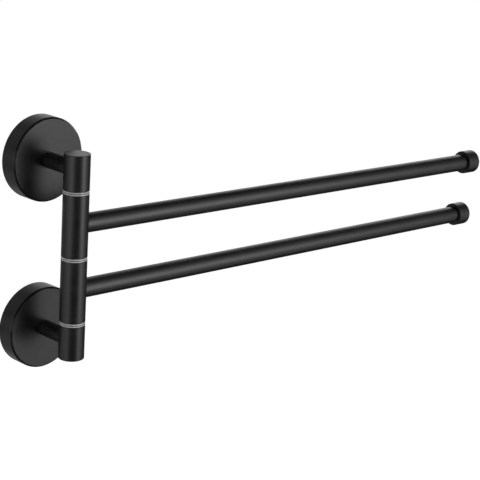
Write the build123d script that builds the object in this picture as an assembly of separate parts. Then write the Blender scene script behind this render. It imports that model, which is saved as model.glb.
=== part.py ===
from build123d import *
import math
import os

# Wall towel rack with two straight arms that swing on one upright column.
# Millimetres. The wall plane is Y = 0 and the room is on the -Y side. +Z is up.
# The origin is the middle of the four wall screws. The arms rest towards +X.

# Overall layout
WALL_TO_COLUMN = 38.0
NECK_Z = 53.4
COLUMN_MID_Z = -1.0

# Column: fixed holder, washer, sleeve, washer, sleeve, washer, fixed holder
COLUMN_R = 8.0
HOLDER_H = 22.0
WASHER_T = 2.0
SLEEVE_H = 39.0
OUTER_BEVEL = 0.4
SEAM_BEVEL = 0.15
RUN_GAP = 0.05

# Spindle and clamp at the foot of the column
SPINDLE_R = 4.0
SPINDLE_TOP_INSET = 10.0
SPINDLE_END_BEVEL = 0.5
TOP_BORE_DEPTH = 12.5
FOOT_SHOULDER_Z = 8.0
FOOT_SHOULDER_T = 3.0
FOOT_HOLE_R = 2.8
FOOT_POCKET_DEPTH = 5.0
FOOT_POCKET_R = 5.3
SPINDLE_FOOT_GAP = 0.5
CLAMP_TAP_DEPTH = 10.0
CLAMP_SHANK = 13.2

# Turning sleeve and its bushes
SLEEVE_BORE_R = 6.0
BUSH_L = 10.0

# Bars
BAR_R = 6.0
BAR_WALL = 1.0
ARM_REACH = 356.0
UPPER_REST_DEG = 5.0
LOWER_REST_DEG = 4.4

# End caps
CAP_R = 8.25
CAP_L = 10.8
CAP_FLOOR = 1.8
CAP_FACE_BEVEL = 0.7
CAP_MOUTH_BEVEL = 0.3

# Flange covers
COVER_R = 26.0
COVER_DEPTH = 12.0
COVER_WALL = 1.5
COVER_FRONT = 2.5
COVER_BEVEL = 1.0
COVER_HOLE_R = 2.7

# Necks
NECK_R = 5.0
SPIGOT_R = 3.0
SPIGOT_L = 3.0
NECK_TAP_DEPTH = 13.0

# Mounting plates
PLATE_R = 24.4
PLATE_T = 6.0
PLATE_BEVEL = 0.5
PLATE_HOLE_R = 7.0
SLOT_W = 4.5
SLOT_L = 8.0
SLOT_SPACING = 30.0

# Grub screws under the flange covers
GRUB_R = 2.0
GRUB_L = 4.0
GRUB_Y = -3.2
GRUB_TIP_R = 21.7
GRUB_POCKET_R = 2.2
GRUB_HEX = 2.0
GRUB_HEX_DEPTH = 2.0

# Button-head screws
SCREW_R = 2.5
HEAD_R = 4.75
HEAD_H = 2.75
HEAD_ROUND = 1.6
HEAD_HEX = 3.0
HEAD_HEX_DEPTH = 1.7
NECK_SHANK = 12.0

# Spring washer
SPRING_IN_R = 2.6
SPRING_OUT_R = 4.6
SPRING_T = 1.2
SPRING_SPLIT = 1.0

# Heights that follow from the values above
COLUMN_H = 2 * HOLDER_H + 3 * WASHER_T + 2 * SLEEVE_H
COLUMN_TOP = COLUMN_MID_Z + COLUMN_H / 2
COLUMN_FOOT = COLUMN_MID_Z - COLUMN_H / 2
UPPER_HOLDER_Z = COLUMN_TOP - HOLDER_H
UPPER_WASHER_Z = UPPER_HOLDER_Z - WASHER_T
UPPER_SLEEVE_Z = UPPER_WASHER_Z - SLEEVE_H
MIDDLE_WASHER_Z = UPPER_SLEEVE_Z - WASHER_T
LOWER_SLEEVE_Z = MIDDLE_WASHER_Z - SLEEVE_H
LOWER_WASHER_Z = LOWER_SLEEVE_Z - WASHER_T
FOOT_LEDGE_Z = COLUMN_FOOT + FOOT_SHOULDER_Z
FOOT_SEAT_Z = COLUMN_FOOT + FOOT_POCKET_DEPTH
SPINDLE_FOOT_Z = FOOT_LEDGE_Z + SPINDLE_FOOT_GAP
SPINDLE_TOP_Z = COLUMN_TOP - SPINDLE_TOP_INSET

STANDING = (Align.CENTER, Align.CENTER, Align.MIN)
COLUMN_AXIS = Pos(0, -WALL_TO_COLUMN, 0)
# Turns a shape built along +Z so that it points out of the wall, along -Y.
OUT_OF_WALL = Rot(90, 0, 0)
# Turns a shape built along +Z so that it points along +X.
ALONG_BAR = Rot(0, 90, 0)


def rod(radius, low, high):
    return Pos(0, 0, low) * Cylinder(radius, high - low, align=STANDING)


def end_circles(shape, top, radius):
    """The circular edges of this radius at the highest or lowest end of a shape that stands along Z."""
    rings = shape.edges().filter_by(GeomType.CIRCLE)
    rings = rings.filter_by(lambda e: abs(e.radius - radius) < 0.01)
    return rings.group_by(Axis.Z)[-1 if top else 0]


def hex_socket(width, depth):
    """A hexagonal socket that starts at Z = 0 and goes down."""
    outline = RegularPolygon(width / 2, 6, major_radius=False)
    return Pos(0, 0, -depth) * extrude(outline, depth)


def button_screw(shank):
    """Button-head socket screw with the head's seat at Z = 0 and the shank down."""
    head = rod(HEAD_R, 0, HEAD_H)
    head = fillet(end_circles(head, True, HEAD_R), HEAD_ROUND)
    head -= Pos(0, 0, HEAD_H) * hex_socket(HEAD_HEX, HEAD_HEX_DEPTH)
    body = rod(SCREW_R, -shank, 0)
    body = chamfer(end_circles(body, False, SCREW_R), SPINDLE_END_BEVEL)
    return head + body


def mounting_plate(flange_z):
    """Disc that is screwed to the wall inside a flange cover, with two level slots."""
    disc = rod(PLATE_R, 0, PLATE_T)
    disc = chamfer(end_circles(disc, True, PLATE_R), PLATE_BEVEL)
    disc -= rod(PLATE_HOLE_R, 0, PLATE_T)
    slot = extrude(SlotOverall(SLOT_L, SLOT_W), PLATE_T)
    for side in (-1, 1):
        disc -= Pos(side * SLOT_SPACING / 2, 0, 0) * slot
    disc = OUT_OF_WALL * disc
    pocket = Pos(0, GRUB_Y, 0) * rod(GRUB_POCKET_R, -PLATE_R - 1, -GRUB_TIP_R)
    return Pos(0, 0, flange_z) * (disc - pocket)


def flange_cover(flange_z):
    """Round cup that hides a mounting plate, with a tapped hole under its rim."""
    cup = rod(COVER_R, 0, COVER_DEPTH)
    cup = chamfer(end_circles(cup, True, COVER_R), COVER_BEVEL)
    cup -= rod(COVER_R - COVER_WALL, 0, COVER_DEPTH - COVER_FRONT)
    cup -= rod(COVER_HOLE_R, 0, COVER_DEPTH)
    cup = OUT_OF_WALL * cup
    tapped = Pos(0, GRUB_Y, 0) * rod(GRUB_R, -COVER_R - 1, -COVER_R + COVER_WALL + 1)
    return Pos(0, 0, flange_z) * (cup - tapped)


def neck(flange_z):
    """Round bar from a flange cover to the column, shaped to the column and with a spigot into it."""
    bar = rod(NECK_R, COVER_DEPTH, WALL_TO_COLUMN)
    bar = OUT_OF_WALL * bar
    bar -= COLUMN_AXIS * rod(COLUMN_R, -NECK_R - 1, NECK_R + 1)
    face = WALL_TO_COLUMN - COLUMN_R
    bar += OUT_OF_WALL * rod(SPIGOT_R, face - 1, face + SPIGOT_L)
    bar -= OUT_OF_WALL * rod(SCREW_R, COVER_DEPTH, COVER_DEPTH + NECK_TAP_DEPTH)
    return Pos(0, 0, flange_z) * bar


def neck_screw(flange_z):
    """Screw from inside the cover into the back of the neck."""
    seat_y = -(COVER_DEPTH - COVER_FRONT)
    return Pos(0, seat_y, flange_z) * (Rot(-90, 0, 0) * button_screw(NECK_SHANK))


def grub_screw(flange_z):
    """Socket set screw under the cover's rim, with its tip in the plate's pocket."""
    grub = rod(GRUB_R, -GRUB_TIP_R - GRUB_L, -GRUB_TIP_R)
    socket = hex_socket(GRUB_HEX, GRUB_HEX_DEPTH)
    grub -= Pos(0, 0, GRUB_HEX_DEPTH - GRUB_TIP_R - GRUB_L) * socket
    return Pos(0, GRUB_Y, flange_z) * grub


def spigot_hole(flange_z):
    hole = OUT_OF_WALL * rod(SPIGOT_R, 0, WALL_TO_COLUMN - COLUMN_R + SPIGOT_L)
    return Pos(0, 0, flange_z) * hole


def upper_holder():
    """Fixed top segment of the column, with a blind tapped bore for the spindle."""
    block = rod(COLUMN_R, UPPER_HOLDER_Z, COLUMN_TOP)
    block = chamfer(end_circles(block, True, COLUMN_R), OUTER_BEVEL)
    block = chamfer(end_circles(block, False, COLUMN_R), SEAM_BEVEL)
    block -= rod(SPINDLE_R, UPPER_HOLDER_Z, UPPER_HOLDER_Z + TOP_BORE_DEPTH)
    return COLUMN_AXIS * block - spigot_hole(NECK_Z)


def lower_holder():
    """Fixed bottom segment of the column, bored for the spindle and pocketed for the clamp screw."""
    block = rod(COLUMN_R, COLUMN_FOOT, LOWER_WASHER_Z)
    block = chamfer(end_circles(block, False, COLUMN_R), OUTER_BEVEL)
    block = chamfer(end_circles(block, True, COLUMN_R), SEAM_BEVEL)
    block -= rod(SPINDLE_R, FOOT_LEDGE_Z, LOWER_WASHER_Z)
    block -= rod(FOOT_HOLE_R, FOOT_SEAT_Z, FOOT_LEDGE_Z)
    block -= rod(FOOT_POCKET_R, COLUMN_FOOT, FOOT_SEAT_Z)
    return COLUMN_AXIS * block - spigot_hole(-NECK_Z)


def spindle():
    """Rod through the whole column, tapped at its foot for the clamp screw."""
    shaft = rod(SPINDLE_R, SPINDLE_FOOT_Z, SPINDLE_TOP_Z)
    shaft = chamfer(end_circles(shaft, True, SPINDLE_R), SPINDLE_END_BEVEL)
    shaft = chamfer(end_circles(shaft, False, SPINDLE_R), SPINDLE_END_BEVEL)
    shaft -= rod(SCREW_R, SPINDLE_FOOT_Z, SPINDLE_FOOT_Z + CLAMP_TAP_DEPTH)
    return COLUMN_AXIS * shaft


def column_washer(low_z):
    """Flat plastic washer between two segments of the column."""
    ring = rod(COLUMN_R, low_z, low_z + WASHER_T) - rod(SPINDLE_R, low_z, low_z + WASHER_T)
    return COLUMN_AXIS * ring


def clamp_screw():
    """Screw that pulls the column together from below."""
    screw = Rot(180, 0, 0) * button_screw(CLAMP_SHANK)
    return COLUMN_AXIS * (Pos(0, 0, FOOT_SEAT_Z - SPRING_T) * screw)


def spring_washer():
    """Split washer between the clamp screw's head and its seat."""
    low_z = FOOT_SEAT_Z - SPRING_T
    ring = rod(SPRING_OUT_R, low_z, FOOT_SEAT_Z) - rod(SPRING_IN_R, low_z, FOOT_SEAT_Z)
    cut = Pos(SPRING_OUT_R, 0, low_z + SPRING_T / 2) * Rot(30, 0, 0)
    ring -= cut * Box(2 * SPRING_OUT_R - 1, SPRING_SPLIT, 4 * SPRING_T)
    return COLUMN_AXIS * ring


def sleeve(low_z):
    """Turning segment of the column that carries one bar."""
    tube = rod(COLUMN_R, low_z + RUN_GAP, low_z + SLEEVE_H - RUN_GAP)
    tube = chamfer(end_circles(tube, True, COLUMN_R), SEAM_BEVEL)
    tube = chamfer(end_circles(tube, False, COLUMN_R), SEAM_BEVEL)
    tube -= rod(SLEEVE_BORE_R, low_z, low_z + SLEEVE_H)
    return COLUMN_AXIS * tube


def bush(low_z):
    """Plastic bearing bush pressed into one end of a sleeve."""
    high_z = low_z + BUSH_L
    ring = rod(SLEEVE_BORE_R, low_z, high_z) - rod(SPINDLE_R + RUN_GAP, low_z, high_z)
    return COLUMN_AXIS * ring


def on_arm(shape, low_z, rest_deg):
    """Moves a shape built along +X from the column's axis to an arm's place at rest."""
    return Pos(0, -WALL_TO_COLUMN, low_z + SLEEVE_H / 2) * Rot(0, 0, -rest_deg) * shape


def bar_tube(low_z, rest_deg):
    """Round tube, shaped to the sleeve at one end and closed by the end cap at the other."""
    end = ARM_REACH - CAP_FLOOR
    tube = ALONG_BAR * (rod(BAR_R, 0, end) - rod(BAR_R - BAR_WALL, 0, end))
    tube -= rod(COLUMN_R, -COLUMN_R, COLUMN_R)
    return on_arm(tube, low_z, rest_deg)


def end_cap(low_z, rest_deg):
    """Cup over the free end of a bar, a little thicker than the bar."""
    cap = rod(CAP_R, ARM_REACH - CAP_L, ARM_REACH)
    cap = chamfer(end_circles(cap, True, CAP_R), CAP_FACE_BEVEL)
    cap = chamfer(end_circles(cap, False, CAP_R), CAP_MOUTH_BEVEL)
    cap -= rod(BAR_R, ARM_REACH - CAP_L, ARM_REACH - CAP_FLOOR)
    return on_arm(ALONG_BAR * cap, low_z, rest_deg)


def fixed_pieces():
    pieces = {}
    for name, flange_z in (("upper", NECK_Z), ("lower", -NECK_Z)):
        pieces[name + "_mounting_plate"] = mounting_plate(flange_z)
        pieces[name + "_flange_cover"] = flange_cover(flange_z)
        pieces[name + "_neck"] = neck(flange_z)
        pieces[name + "_neck_screw"] = neck_screw(flange_z)
        pieces[name + "_grub_screw"] = grub_screw(flange_z)
    pieces["upper_holder"] = upper_holder()
    pieces["lower_holder"] = lower_holder()
    pieces["spindle"] = spindle()
    pieces["upper_washer"] = column_washer(UPPER_WASHER_Z)
    pieces["middle_washer"] = column_washer(MIDDLE_WASHER_Z)
    pieces["lower_washer"] = column_washer(LOWER_WASHER_Z)
    pieces["clamp_screw"] = clamp_screw()
    pieces["spring_washer"] = spring_washer()
    return pieces


def arm_pieces(name, low_z, rest_deg):
    return {
        name + "_sleeve": sleeve(low_z),
        name + "_top_bush": bush(low_z + SLEEVE_H - RUN_GAP - BUSH_L),
        name + "_bottom_bush": bush(low_z + RUN_GAP),
        name + "_bar_tube": bar_tube(low_z, rest_deg),
        name + "_end_cap": end_cap(low_z, rest_deg),
    }


def main():
    os.makedirs("parts", exist_ok=True)
    pieces = fixed_pieces()
    pieces.update(arm_pieces("upper", UPPER_SLEEVE_Z, UPPER_REST_DEG))
    pieces.update(arm_pieces("lower", LOWER_SLEEVE_Z, LOWER_REST_DEG))
    for name, shape in pieces.items():
        export_step(shape, "parts/" + name + ".step")


main()
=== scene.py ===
import math
import bpy
import bmesh
from mathutils import Matrix, Vector


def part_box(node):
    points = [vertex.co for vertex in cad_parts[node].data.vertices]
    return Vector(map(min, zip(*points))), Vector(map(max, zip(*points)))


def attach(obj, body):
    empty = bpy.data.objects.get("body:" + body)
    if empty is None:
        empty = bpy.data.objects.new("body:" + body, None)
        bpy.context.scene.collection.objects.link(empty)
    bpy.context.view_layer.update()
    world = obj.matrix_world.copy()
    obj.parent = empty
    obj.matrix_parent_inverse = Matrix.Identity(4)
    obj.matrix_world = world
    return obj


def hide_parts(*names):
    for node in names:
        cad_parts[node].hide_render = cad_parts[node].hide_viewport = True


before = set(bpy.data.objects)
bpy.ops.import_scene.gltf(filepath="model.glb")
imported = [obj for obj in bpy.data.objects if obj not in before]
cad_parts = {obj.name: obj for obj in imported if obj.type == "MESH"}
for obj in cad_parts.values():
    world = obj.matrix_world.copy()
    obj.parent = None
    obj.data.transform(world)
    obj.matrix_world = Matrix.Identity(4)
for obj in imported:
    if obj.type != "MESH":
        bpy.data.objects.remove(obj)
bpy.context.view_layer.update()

# Towel rack with two swinging arms. Metres, in the frame of the CAD part:
# the wall is Y = 0, the room is on the -Y side, +Z is up and the arms rest towards +X.
MM = 0.001
# Sides of a turned piece and of a drilled hole, and the turn of one step round an edge
AROUND = 144
DRILL_SIDES = 64
WIDE_EDGE_STEP = math.radians(18)
FINE_EDGE_STEP = math.radians(30)
# Cosine above which a smooth normal belongs to a face
SAME_SIDE = 0.85
# Decimals to which two places in metres are the same point
SAME_PLACE = 7
# How far a drill starts outside the surface
OVERSHOOT = 1.0 * MM
# Kinds of corner in an outline
COPED = "coped"
SMOOTH = "smooth"

# Edge radii
FINE_EDGE = 0.05 * MM
SEAM_EDGE = 0.15 * MM
HOLDER_EDGE = 0.35 * MM
WASHER_EDGE = 0.15 * MM
COVER_BEVEL = 1.0 * MM
COVER_BEVEL_EDGE = 0.28 * MM
CAP_FACE_EDGE = 0.9 * MM
CAP_MOUTH_EDGE = 0.3 * MM
BAR_FILLET = 0.35 * MM
NECK_FILLET = 0.15 * MM
# A coped end goes this far into the column, and its fillet dips this far under the surface.
COPE_ROOT = 0.3 * MM
FILLET_DIP = 0.02 * MM
FILLET_SPREAD = 0.1 * MM

# Shallow groove round a washer, between its two lips
WASHER_LIP = 0.65 * MM
GROOVE_DEPTH = 0.15 * MM
GROOVE_EDGE = 0.08 * MM

# Sizes inside the pieces, which the CAD nodes' boxes don't show
COVER_WALL = 1.5 * MM
COVER_FRONT = 2.5 * MM
COVER_HOLE_R = 2.7 * MM
TAP_R = 2.5 * MM
NECK_TAP_DEPTH = 13.0 * MM
SPIGOT_R = 3.0 * MM
SPIGOT_L = 3.0 * MM
SPINDLE_R = 4.0 * MM
TOP_BORE_DEPTH = 12.5 * MM
FOOT_LEDGE = 8.0 * MM
FOOT_SEAT = 5.0 * MM
FOOT_HOLE_R = 2.8 * MM
FOOT_POCKET_R = 5.3 * MM
SLEEVE_BORE_R = 6.0 * MM
BAR_WALL = 1.0 * MM
CAP_FLOOR = 1.8 * MM

# The column, whose holders' boxes are as wide as it is
COLUMN_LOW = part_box("lower_holder")[0]
COLUMN_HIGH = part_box("upper_holder")[1]
COLUMN = (COLUMN_LOW + COLUMN_HIGH) / 2
COLUMN_R = (COLUMN_HIGH.x - COLUMN_LOW.x) / 2


# ------------------------------------------------------------------ mesh tools

def right_of(way):
    return Vector((way.y, -way.x))


def rounded_outline(corners):
    """Points of a closed outline, its solid side on the left, as (r, h, normal, wear, smooth, coped).

    A corner is (r, h, edge radius, kind), and its kind may be left out. COPED means that h counts from
    a coped end, and SMOOTH that the finish is smooth there and up to the next SMOOTH corner; on a washer
    the same mark also sets where the nylon finish paints shade as a darker colour.
    A corner with r = 0 lies on the axis, and the outline is open there."""
    points = []
    for i, (r, h, edge, *kind) in enumerate(corners):
        before, after = corners[i - 1], corners[(i + 1) % len(corners)]
        here = Vector((r, h))
        way_in = (here - Vector(before[:2])).normalized()
        way_out = (Vector(after[:2]) - here).normalized()
        on_cope = COPED in kind
        if r == 0:
            normal = right_of(way_out if after[0] > 0 else way_in)
            points.append((r, h, normal, 0.0, 0.0, on_cope))
            continue
        turn = math.atan2(way_in.cross(way_out), way_in.dot(way_out))
        side = math.copysign(1, turn)
        normal_in = right_of(way_in)
        middle = here - way_in * (edge * math.tan(abs(turn) / 2)) - normal_in * (side * edge)
        steps = max(2, round(abs(turn) / (WIDE_EDGE_STEP if edge > SEAM_EDGE else FINE_EDGE_STEP)))
        for k in range(steps + 1):
            normal = Matrix.Rotation(turn * k / steps, 2) @ normal_in
            spot = middle + normal * (side * edge)
            wear = math.sin(math.pi * k / steps) if side > 0 else 0.0
            outermost = (k == 0 and SMOOTH not in before) or (k == steps and SMOOTH not in after)
            smooth = float(SMOOTH in kind and not outermost)
            points.append((spot.x, spot.y, normal, wear, smooth, on_cope))
    return points


def turned(name, corners, place, cope_r=0.0):
    """The outline turned round the local Z axis and put at a place.

    Coped points follow a cylinder of radius cope_r whose axis is the local Y axis."""
    outline = rounded_outline(corners)
    verts, normals, wear, smooth, rows = [], [], [], [], []
    turn_only = place.to_3x3()
    for r, h, normal, worn, smoothed, on_cope in outline:
        row = []
        for k in range(AROUND):
            t = 2 * math.pi * k / AROUND
            c, s = math.cos(t), math.sin(t)
            along = Vector((-normal.y * c, -normal.y * s, normal.x))
            round_it = Vector((-r * s, r * c, 0)) if r else Vector((-s, c, 0))
            lift = 0.0
            if on_cope:
                lift = math.sqrt(cope_r ** 2 - (r * c) ** 2)
                along.z += r * c * c / lift * normal.y
                round_it.z += r * r * s * c / lift
            verts.append(place @ Vector((r * c, r * s, h + lift)))
            normals.append(turn_only @ round_it.cross(along).normalized())
            wear.append(worn)
            smooth.append(smoothed)
            row.append(len(verts) - 1)
            if r == 0:
                row *= AROUND
                normals[-1] = turn_only @ Vector((0, 0, normal.y))
                break
        rows.append(row)
    faces = []
    for row, following in zip(rows, rows[1:] + rows[:1]):
        for k in range(AROUND):
            n = (k + 1) % AROUND
            face = list(dict.fromkeys((row[k], row[n], following[n], following[k])))
            if len(face) > 2:
                faces.append(face)
    mesh = bpy.data.meshes.new(name)
    mesh.from_pydata(verts, [], faces)
    mesh.shade_smooth()
    mesh.attributes.new("wear", "FLOAT", "POINT").data.foreach_set("value", wear)
    # On a washer the smooth mark also sets where the nylon finish paints shade, as a darker groove colour.
    mesh.attributes.new("smooth", "FLOAT", "POINT").data.foreach_set("value", smooth)
    mesh.normals_split_custom_set_from_vertices(normals)
    piece = bpy.data.objects.new(name, mesh)
    bpy.context.scene.collection.objects.link(piece)
    return piece


def drilled(piece, place, drill_r, drill_place, depth):
    """Cuts a round hole in a turned piece, from a place down its -Z, and keeps the smooth shading."""
    kept = {}
    for loop, normal in zip(piece.data.loops, piece.data.corner_normals):
        point = piece.data.vertices[loop.vertex_index].co
        kept[tuple(round(c, SAME_PLACE) for c in point)] = normal.vector.copy()
    shape = bmesh.new()
    bmesh.ops.create_cone(shape, cap_ends=True, segments=DRILL_SIDES, radius1=drill_r, radius2=drill_r,
                          depth=depth, matrix=drill_place @ Matrix.Translation((0, 0, -depth / 2)))
    drill = bpy.data.objects.new("drill", bpy.data.meshes.new("drill"))
    bpy.context.scene.collection.objects.link(drill)
    shape.to_mesh(drill.data)
    shape.free()
    cut = piece.modifiers.new("hole", "BOOLEAN")
    cut.operation = "DIFFERENCE"
    cut.solver = "EXACT"
    cut.object = drill
    whole = piece.data
    finished = piece.evaluated_get(bpy.context.evaluated_depsgraph_get())
    piece.data = bpy.data.meshes.new_from_object(finished)
    piece.modifiers.clear()
    bpy.data.objects.remove(drill)
    bpy.data.meshes.remove(whole)
    normals = []
    for face in piece.data.polygons:
        for v in face.vertices:
            point = piece.data.vertices[v].co
            flat = face.normal
            guesses = [kept.get(tuple(round(c, SAME_PLACE) for c in point), flat)]
            for axis in (place, drill_place):
                spoke = axis.inverted() @ point
                spoke = (axis.to_3x3() @ Vector((spoke.x, spoke.y, 0))).normalized()
                guesses += [spoke, -spoke]
            near = [g for g in guesses if g.dot(flat) > SAME_SIDE]
            normals.append(near[0] if near else flat)
    piece.data.normals_split_custom_set(normals)
    return piece


def facing(origin, forward, upward):
    """Place whose local Z points forward and whose local Y points upward."""
    z = Vector(forward).normalized()
    x = Vector(upward).cross(z).normalized()
    matrix = Matrix((x, z.cross(x), z)).transposed().to_4x4()
    matrix.translation = origin
    return matrix


def middle_of(node):
    low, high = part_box(node)
    return (low + high) / 2


def stands_for(piece, node, slot, body):
    """The finished piece takes a CAD node's place, finish and body."""
    piece.data.materials.clear()
    piece.data.materials.append(MATERIALS[slot])
    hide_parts(node)
    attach(piece, body)
    return piece


# ------------------------------------------------------------------- materials

class Shader:
    """A node material with short names for the nodes that every finish here uses."""

    def __init__(self, name):
        self.material = bpy.data.materials.new(name)
        self.material.use_nodes = True
        self.tree = self.material.node_tree
        self.surface = self.tree.nodes["Principled BSDF"]
        self.place = self.node("ShaderNodeTexCoord").outputs["Object"]

    def node(self, kind, **settings):
        made = self.tree.nodes.new(kind)
        for key, value in settings.items():
            setattr(made, key, value)
        return made

    def put(self, socket, value):
        if isinstance(value, bpy.types.NodeSocket):
            self.tree.links.new(value, socket)
        else:
            socket.default_value = value

    def constants(self, **values):
        """Plain numbers, set on the surface's own sockets."""
        for key, value in values.items():
            self.surface.inputs[key.replace("_", " ")].default_value = value

    def noise(self, size, detail=2.0, stretch=(1, 1, 1), offset=0.0):
        """Noise whose features are about this size in metres."""
        mapped = self.node("ShaderNodeMapping")
        mapped.inputs["Location"].default_value = (offset, offset, offset)
        mapped.inputs["Scale"].default_value = [s / size for s in stretch]
        self.put(mapped.inputs["Vector"], self.place)
        made = self.node("ShaderNodeTexNoise")
        made.inputs["Scale"].default_value = 1.0
        made.inputs["Detail"].default_value = detail
        self.put(made.inputs["Vector"], mapped.outputs["Vector"])
        return made.outputs["Fac"]

    def spread(self, value, low, high, start=0.3, end=0.7):
        """Spreads a value that runs from start to end over low to high."""
        made = self.node("ShaderNodeMapRange")
        self.put(made.inputs["Value"], value)
        for name, number in (("From Min", start), ("From Max", end), ("To Min", low), ("To Max", high)):
            made.inputs[name].default_value = number
        return made.outputs["Result"]

    def math(self, operation, a, b):
        made = self.node("ShaderNodeMath", operation=operation)
        self.put(made.inputs[0], a)
        self.put(made.inputs[1], b)
        return made.outputs[0]

    def blend(self, factor, a, b):
        """Colour a where the factor is 0 and colour b where it is 1."""
        made = self.node("ShaderNodeMix", data_type="RGBA")
        self.put(made.inputs["Factor"], factor)
        colours = [i for i in made.inputs if i.type == "RGBA"]
        self.put(colours[0], a)
        self.put(colours[1], b)
        return next(o for o in made.outputs if o.type == "RGBA")

    def attribute(self, name):
        """A value that the mesh carries."""
        return self.node("ShaderNodeAttribute", attribute_name=name).outputs["Fac"]

    def edge_wear(self):
        """High where an edge is rubbed, broken up so that it never makes an even line."""
        broken = self.spread(self.noise(2.2 * MM, 4.0), 0.0, 1.0, 0.42, 0.62)
        return self.math("MULTIPLY", self.attribute("wear"), broken)

    def bumps(self, *layers):
        """Bump from (height, distance in metres) layers, each on top of the last."""
        normal = None
        for height, distance in layers:
            made = self.node("ShaderNodeBump")
            made.inputs["Strength"].default_value = 1.0
            made.inputs["Distance"].default_value = distance
            self.put(made.inputs["Height"], height)
            if normal is not None:
                self.put(made.inputs["Normal"], normal)
            normal = made.outputs["Normal"]
        self.put(self.surface.inputs["Normal"], normal)

    def finish(self, colour, roughness):
        self.put(self.surface.inputs["Base Color"], colour)
        self.put(self.surface.inputs["Roughness"], roughness)
        return self.material


def grey(value, warm=0.0):
    return (value * (1 + warm), value, value * (1 - warm), 1.0)


def black_coat():
    """Satin black powder coat: fine orange peel, a faint mottle, and smoother rubbed edges and bevels."""
    s = Shader("black_powder_coat")
    wear = s.edge_wear()
    speck = s.noise(0.9 * MM, 3.0)
    mottle = s.noise(14 * MM, 3.0, offset=3.1)
    shade = s.spread(s.math("ADD", speck, mottle), 0.0, 1.0, 0.8, 1.2)
    colour = s.blend(shade, grey(0.016), grey(0.024, 0.02))
    colour = s.blend(wear, colour, grey(0.05, 0.03))
    rough = s.math("ADD", s.spread(mottle, 0.31, 0.37), s.spread(speck, -0.02, 0.02))
    rough = s.math("SUBTRACT", rough, s.math("MULTIPLY", wear, 0.08))
    rough = s.math("SUBTRACT", rough, s.math("MULTIPLY", s.attribute("smooth"), 0.24))
    s.constants(Specular_IOR_Level=0.5)
    s.bumps((s.noise(1.6 * MM, 2.0, offset=7.7), 0.010 * MM), (speck, 0.004 * MM))
    return s.finish(colour, rough)


def clear_nylon():
    """Milky nylon washer: glossy white lips, and between them a less glossy groove, coloured darker as
    painted shade.
    """
    s = Shader("clear_nylon")
    groove = s.attribute("smooth")
    cloud = s.noise(3.0 * MM, 3.0)
    lips = s.blend(s.spread(cloud, 0.0, 1.0), (0.84, 0.84, 0.86, 1), (0.95, 0.95, 0.96, 1))
    # Painted shade: the groove between the lips is coloured dark grey in place of the shade that falls in
    # it.
    colour = s.blend(groove, lips, (0.30, 0.30, 0.32, 1))
    rough = s.spread(s.noise(1.5 * MM, 3.0, offset=5.0), 0.09, 0.15)
    rough = s.math("ADD", rough, s.math("MULTIPLY", groove, 0.05))
    s.constants(IOR=1.53, Transmission_Weight=0.12)
    s.bumps((s.noise(0.8 * MM, 2.0, stretch=(0.3, 0.3, 1.0)), 0.0015 * MM))
    return s.finish(colour, rough)


def bush_plastic():
    """Matte acetal bearing bush."""
    s = Shader("acetal_bush")
    cloud = s.noise(2.0 * MM, 3.0)
    colour = s.blend(s.spread(cloud, 0.0, 1.0), grey(0.55, 0.03), grey(0.68, 0.02))
    s.bumps((s.noise(0.4 * MM, 3.0), 0.006 * MM))
    return s.finish(colour, s.spread(cloud, 0.42, 0.58))


def zinc_plate():
    """Pressed steel with bright zinc plating: soft spangle, rolling lines and small scuffs."""
    s = Shader("zinc_plate")
    cells = s.node("ShaderNodeTexVoronoi")
    cells.inputs["Scale"].default_value = 1 / (4 * MM)
    s.put(cells.inputs["Vector"], s.place)
    spangle = s.spread(cells.outputs["Distance"], 0.0, 1.0, 0.0, 0.8)
    lines = s.noise(0.25 * MM, 2.0, stretch=(0.05, 1.0, 1.0))
    scuff = s.spread(s.noise(6 * MM, 5.0, offset=2.0), 0.0, 1.0, 0.55, 0.7)
    colour = s.blend(spangle, (0.50, 0.52, 0.55, 1), (0.64, 0.65, 0.67, 1))
    colour = s.blend(s.math("MULTIPLY", scuff, 0.35), colour, (0.36, 0.36, 0.36, 1))
    rough = s.math("ADD", s.spread(lines, 0.28, 0.40), s.math("MULTIPLY", scuff, 0.15))
    s.constants(Metallic=1.0)
    s.bumps((lines, 0.004 * MM), (spangle, 0.006 * MM))
    return s.finish(colour, rough)


def turned_steel(name, colour_low, colour_high, rough_low, rough_high, line):
    """Steel with the fine marks of turning or rolling along its length."""
    s = Shader(name)
    marks = s.noise(line, 3.0, stretch=(0.15, 0.15, 1.0))
    stain = s.noise(5 * MM, 4.0, offset=1.3)
    colour = s.blend(s.spread(stain, 0.0, 1.0), colour_low, colour_high)
    rough = s.math("ADD", s.spread(marks, rough_low, rough_high), s.spread(stain, 0.0, 0.06))
    s.constants(Metallic=1.0)
    s.bumps((marks, 0.005 * MM))
    return s.finish(colour, rough)


MATERIALS = {
    "black_coat": black_coat(),
    "clear_nylon": clear_nylon(),
    "bush_plastic": bush_plastic(),
    "zinc_plate": zinc_plate(),
    "screw_steel": turned_steel("screw_steel", grey(0.42, 0.02), grey(0.52, 0.01), 0.22, 0.32, 0.3 * MM),
    "spindle_steel": turned_steel("spindle_steel", grey(0.48), grey(0.58), 0.26, 0.38, 0.2 * MM),
}


# ---------------------------------------------------------------------- pieces

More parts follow.
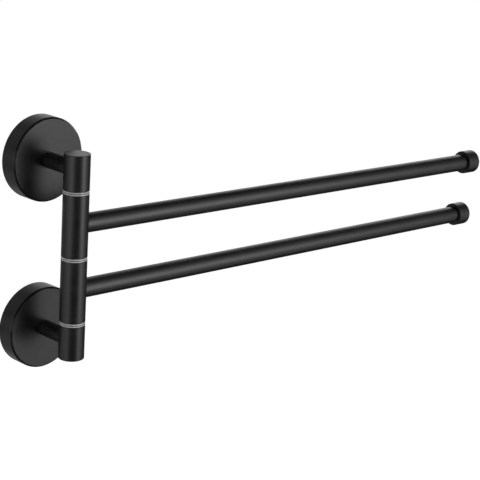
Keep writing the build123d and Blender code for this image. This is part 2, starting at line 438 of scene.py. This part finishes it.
def flange_cover(side):
    """Round cup over a mounting plate, with a bevelled front edge and a tapped hole under its rim."""
    node = side + "_flange_cover"
    low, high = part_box(node)
    centre = middle_of(node)
    radius = (high.z - low.z) / 2
    depth = high.y - low.y
    place = facing((centre.x, high.y, centre.z), (0, -1, 0), (0, 0, 1))
    cup = turned(node, [
        (COVER_HOLE_R, depth - COVER_FRONT, FINE_EDGE),
        (radius - COVER_WALL, depth - COVER_FRONT, SEAM_EDGE),
        (radius - COVER_WALL, 0, FINE_EDGE),
        (radius, 0, SEAM_EDGE),
        (radius, depth - COVER_BEVEL, COVER_BEVEL_EDGE, SMOOTH),
        (radius - COVER_BEVEL, depth, COVER_BEVEL_EDGE, SMOOTH),
        (COVER_HOLE_R, depth, FINE_EDGE),
    ], place)
    grub_low, grub_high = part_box(side + "_grub_screw")
    grub = middle_of(side + "_grub_screw")
    drill_r = (grub_high.x - grub_low.x) / 2
    drill_place = facing((grub.x, grub.y, low.z + COVER_WALL + OVERSHOOT), (0, 0, 1), (0, 1, 0))
    drilled(cup, place, drill_r, drill_place, 2 * COVER_WALL + OVERSHOOT)
    return stands_for(cup, node, "black_coat", "wall_frame")


def neck(side):
    """Round bar from a flange cover to the column, shaped to the column, with a spigot and a tapped end."""
    node = side + "_neck"
    low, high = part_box(node)
    radius = (high.z - low.z) / 2
    end = high.y - COLUMN.y
    place = facing((COLUMN.x, COLUMN.y, middle_of(node).z), (0, 1, 0), (0, 0, 1))
    bar = turned(node, [
        (0, COLUMN_R - SPIGOT_L, 0),
        (SPIGOT_R, COLUMN_R - SPIGOT_L, FINE_EDGE),
        (SPIGOT_R, -COPE_ROOT, FINE_EDGE, COPED),
        (radius + NECK_FILLET + FILLET_SPREAD, -COPE_ROOT, FINE_EDGE, COPED),
        (radius + NECK_FILLET + FILLET_SPREAD, -FILLET_DIP, FINE_EDGE, COPED),
        (radius, 0, NECK_FILLET, COPED),
        (radius, end, FINE_EDGE),
        (TAP_R, end, FINE_EDGE),
        (TAP_R, end - NECK_TAP_DEPTH, FINE_EDGE),
        (0, end - NECK_TAP_DEPTH, 0),
    ], place, COLUMN_R)
    return stands_for(bar, node, "black_coat", "wall_frame")


def column_place():
    """Place on the column's axis at height 0, pointing up."""
    return facing((COLUMN.x, COLUMN.y, 0), (0, 0, 1), (0, 1, 0))


def spigot_hole(holder, side):
    """Blind hole in a holder for the neck's spigot."""
    height = middle_of(side + "_neck").z
    outside = facing((COLUMN.x, COLUMN.y + COLUMN_R + OVERSHOOT, height), (0, 1, 0), (0, 0, 1))
    return drilled(holder, column_place(), SPIGOT_R, outside, SPIGOT_L + OVERSHOOT)


def upper_holder():
    """Fixed top segment of the column, with a blind bore for the spindle."""
    low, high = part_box("upper_holder")
    block = turned("upper_holder", [
        (0, low.z + TOP_BORE_DEPTH, 0),
        (SPINDLE_R, low.z + TOP_BORE_DEPTH, FINE_EDGE),
        (SPINDLE_R, low.z, FINE_EDGE),
        (COLUMN_R, low.z, SEAM_EDGE),
        (COLUMN_R, high.z, HOLDER_EDGE),
        (0, high.z, 0),
    ], column_place())
    return stands_for(spigot_hole(block, "upper"), "upper_holder", "black_coat", "wall_frame")


def lower_holder():
    """Fixed bottom segment of the column, bored for the spindle, with a pocket for the clamp screw."""
    low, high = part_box("lower_holder")
    block = turned("lower_holder", [
        (SPINDLE_R, high.z, FINE_EDGE),
        (SPINDLE_R, low.z + FOOT_LEDGE, FINE_EDGE),
        (FOOT_HOLE_R, low.z + FOOT_LEDGE, FINE_EDGE),
        (FOOT_HOLE_R, low.z + FOOT_SEAT, FINE_EDGE),
        (FOOT_POCKET_R, low.z + FOOT_SEAT, FINE_EDGE),
        (FOOT_POCKET_R, low.z, SEAM_EDGE),
        (COLUMN_R, low.z, HOLDER_EDGE),
        (COLUMN_R, high.z, SEAM_EDGE),
    ], column_place())
    return stands_for(spigot_hole(block, "lower"), "lower_holder", "black_coat", "wall_frame")


def washer(node):
    """Plastic ring between two segments, with a shallow groove round it between two rounded lips."""
    low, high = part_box(node)
    groove_r = COLUMN_R - GROOVE_DEPTH
    ring = turned(node, [
        (SPINDLE_R, low.z, FINE_EDGE),
        (COLUMN_R, low.z, WASHER_EDGE),
        # The groove's SMOOTH corners mark where the nylon finish paints shade, as a darker colour.
        (COLUMN_R, low.z + WASHER_LIP, GROOVE_EDGE, SMOOTH),
        (groove_r, low.z + WASHER_LIP + GROOVE_DEPTH, GROOVE_EDGE, SMOOTH),
        (groove_r, high.z - WASHER_LIP - GROOVE_DEPTH, GROOVE_EDGE, SMOOTH),
        (COLUMN_R, high.z - WASHER_LIP, GROOVE_EDGE, SMOOTH),
        (COLUMN_R, high.z, WASHER_EDGE),
        (SPINDLE_R, high.z, FINE_EDGE),
    ], column_place())
    return stands_for(ring, node, "clear_nylon", "wall_frame")


def sleeve(side):
    """Turning segment of the column, bored for its two bushes."""
    node = side + "_sleeve"
    low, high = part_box(node)
    tube = turned(node, [
        (SLEEVE_BORE_R, low.z, FINE_EDGE),
        (COLUMN_R, low.z, SEAM_EDGE),
        (COLUMN_R, high.z, SEAM_EDGE),
        (SLEEVE_BORE_R, high.z, FINE_EDGE),
    ], column_place())
    return stands_for(tube, node, "black_coat", side + "_arm")


def arm(side):
    """The turning sleeve, its bar and the bar's end cap.

    The bar points a little off the X axis, so the cap's length is worked out from its box and its way."""
    body = side + "_arm"
    sleeve(side)
    cap_low, cap_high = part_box(side + "_end_cap")
    cap_centre = middle_of(side + "_end_cap")
    root = Vector((COLUMN.x, COLUMN.y, cap_centre.z))
    way = (cap_centre - root).normalized()
    place = facing(root, way, (0, 0, 1))
    cap_r = (cap_high.z - cap_low.z) / 2
    cap_l = ((cap_high.x - cap_low.x) - 2 * cap_r * abs(way.y)) / way.x
    cap_start = (cap_centre - root).length - cap_l / 2
    reach = cap_start + cap_l
    bar_low, bar_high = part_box(side + "_bar_tube")
    bar_r = (bar_high.z - bar_low.z) / 2
    bar_end = reach - CAP_FLOOR
    tube = turned(side + "_bar_tube", [
        (bar_r - BAR_WALL, -COPE_ROOT, FINE_EDGE, COPED),
        (bar_r + BAR_FILLET + FILLET_SPREAD, -COPE_ROOT, FINE_EDGE, COPED),
        (bar_r + BAR_FILLET + FILLET_SPREAD, -FILLET_DIP, FINE_EDGE, COPED),
        (bar_r, 0, BAR_FILLET, COPED),
        (bar_r, bar_end, FINE_EDGE),
        (bar_r - BAR_WALL, bar_end, FINE_EDGE),
    ], place, COLUMN_R)
    stands_for(tube, side + "_bar_tube", "black_coat", body)
    cap = turned(side + "_end_cap", [
        (0, bar_end, 0),
        (bar_r, bar_end, FINE_EDGE),
        (bar_r, cap_start, SEAM_EDGE),
        (cap_r, cap_start, CAP_MOUTH_EDGE),
        (cap_r, reach, CAP_FACE_EDGE),
        (0, reach, 0),
    ], place)
    stands_for(cap, side + "_end_cap", "black_coat", body)


def place_pieces():
    for side in ("upper", "lower"):
        flange_cover(side)
        neck(side)
    upper_holder()
    lower_holder()
    for node in ("upper_washer", "middle_washer", "lower_washer"):
        washer(node)
    for side in ("upper", "lower"):
        arm(side)


def finish_kept_nodes():
    """The CAD nodes that are shown as they are get the finish of their slot."""
    kept = {
        "zinc_plate": ("upper_mounting_plate", "lower_mounting_plate"),
        "screw_steel": ("upper_neck_screw", "lower_neck_screw", "upper_grub_screw", "lower_grub_screw",
                        "clamp_screw", "spring_washer"),
        "spindle_steel": ("spindle",),
        "bush_plastic": ("upper_top_bush", "upper_bottom_bush", "lower_top_bush", "lower_bottom_bush"),
    }
    for slot, nodes in kept.items():
        for node in nodes:
            for material_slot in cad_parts[node].material_slots:
                material_slot.material = MATERIALS[slot]


# ----------------------------------------------------------------------- stage

# Banks of equal softboxes: (azimuth from +X, elevation) of each panel in degrees, strength of a panel
SOFTBOXES = (
    ("key", ((300, 0), (300, 15)), 4.5),
    ("wall_side", ((90, 0), (45, -15)), 4.0),
    ("side", ((285, -15), (285, 0), (180, 0), (195, 0)), 3.6),
    ("edge", ((285, 15), (300, -15), (15, 15), (30, 15), (45, 15)), 2.2),
    ("fill", ((300, 30), (30, 30), (60, 30), (60, 60), (75, -45),
              (144, -30), (150, 0), (165, -15), (180, -30), (195, -30)), 1.2),
    ("wing", ((315, -45), (315, -30), (315, 30), (315, 45), (330, -15),
              (90, 30), (108, -30), (120, 0), (120, 30), (210, 0)), 0.8),
)
PANEL_SIZE = 1.1
PANEL_DISTANCE = 2.0
LIT_CENTRE = Vector((0.12, -0.04, 0.0))

FLOOR_Z = -1.1
FLOOR_HALF = 20.0

# The camera looks at the column from the left of straight ahead, and a little from above
CAMERA_AZIMUTH = math.radians(-46.45)
CAMERA_ELEVATION = math.radians(16.59)
CAMERA_ROLL = math.radians(3.71)
CAMERA_DISTANCE = 0.887
COLUMN_LEFT_OF_AXIS = 0.0992
COLUMN_BELOW_AXIS = 0.0104
LENS_MM = 111.2
SENSOR_MM = 36.0


def softboxes():
    for name, directions, strength in SOFTBOXES:
        for azimuth, elevation in directions:
            a, e = math.radians(azimuth), math.radians(elevation)
            way = Vector((math.cos(a) * math.cos(e), math.sin(a) * math.cos(e), math.sin(e)))
            data = bpy.data.lights.new(name, "AREA")
            data.shape = "DISK"
            data.size = PANEL_SIZE
            data.energy = strength
            data.normalize = False
            panel = bpy.data.objects.new(name, data)
            bpy.context.scene.collection.objects.link(panel)
            panel.location = LIT_CENTRE + PANEL_DISTANCE * way
            panel.rotation_euler = way.to_track_quat("Z", "Y").to_euler()
            panel.visible_camera = False


def backdrop():
    """White surroundings for the camera and for rays through plastic. They don't light the coat."""
    world = bpy.data.worlds.new("studio")
    world.use_nodes = True
    bpy.context.scene.world = world
    nodes, links = world.node_tree.nodes, world.node_tree.links
    background = nodes["Background"]
    background.inputs["Color"].default_value = (1, 1, 1, 1)
    path = nodes.new("ShaderNodeLightPath")
    seen = nodes.new("ShaderNodeMath")
    seen.operation = "MAXIMUM"
    links.new(path.outputs["Is Camera Ray"], seen.inputs[0])
    links.new(path.outputs["Is Transmission Ray"], seen.inputs[1])
    links.new(seen.outputs[0], background.inputs["Strength"])


def floor():
    """Plain pale studio floor, well below a rack that hangs on a wall."""
    corners = [(x * FLOOR_HALF, y * FLOOR_HALF, FLOOR_Z) for x, y in ((-1, -1), (1, -1), (1, 1), (-1, 1))]
    mesh = bpy.data.meshes.new("floor")
    mesh.from_pydata(corners, [], [(0, 1, 2, 3)])
    ground = bpy.data.objects.new("floor", mesh)
    bpy.context.scene.collection.objects.link(ground)
    paint = bpy.data.materials.new("pale_floor")
    paint.use_nodes = True
    surface = paint.node_tree.nodes["Principled BSDF"]
    surface.inputs["Base Color"].default_value = (0.9, 0.9, 0.9, 1)
    surface.inputs["Emission Color"].default_value = (1, 1, 1, 1)
    surface.inputs["Emission Strength"].default_value = 1.0
    mesh.materials.append(paint)
    ground.visible_diffuse = False
    ground.visible_glossy = False
    ground.visible_shadow = False


def camera():
    """The column stands a little left of and below the middle of the view."""
    a, e, roll = CAMERA_AZIMUTH, CAMERA_ELEVATION, CAMERA_ROLL
    back = Vector((math.sin(a) * math.cos(e), -math.cos(a) * math.cos(e), math.sin(e)))
    level = Vector((math.cos(a), math.sin(a), 0))
    upright = back.cross(level)
    right = math.cos(roll) * level + math.sin(roll) * upright
    up = -math.sin(roll) * level + math.cos(roll) * upright
    made = bpy.data.objects.new("camera", bpy.data.cameras.new("camera"))
    bpy.context.scene.collection.objects.link(made)
    matrix = Matrix((right, up, back)).transposed().to_4x4()
    sideways = COLUMN_LEFT_OF_AXIS * right + COLUMN_BELOW_AXIS * up
    matrix.translation = COLUMN + sideways + CAMERA_DISTANCE * back
    made.matrix_world = matrix
    made.data.lens = LENS_MM
    made.data.sensor_width = SENSOR_MM
    made.data.clip_start = 0.01
    made.data.clip_end = 100
    bpy.context.scene.camera = made


camera()
place_pieces()
finish_kept_nodes()
softboxes()
backdrop()
floor()
bpy.context.scene.view_settings.view_transform = "Standard"
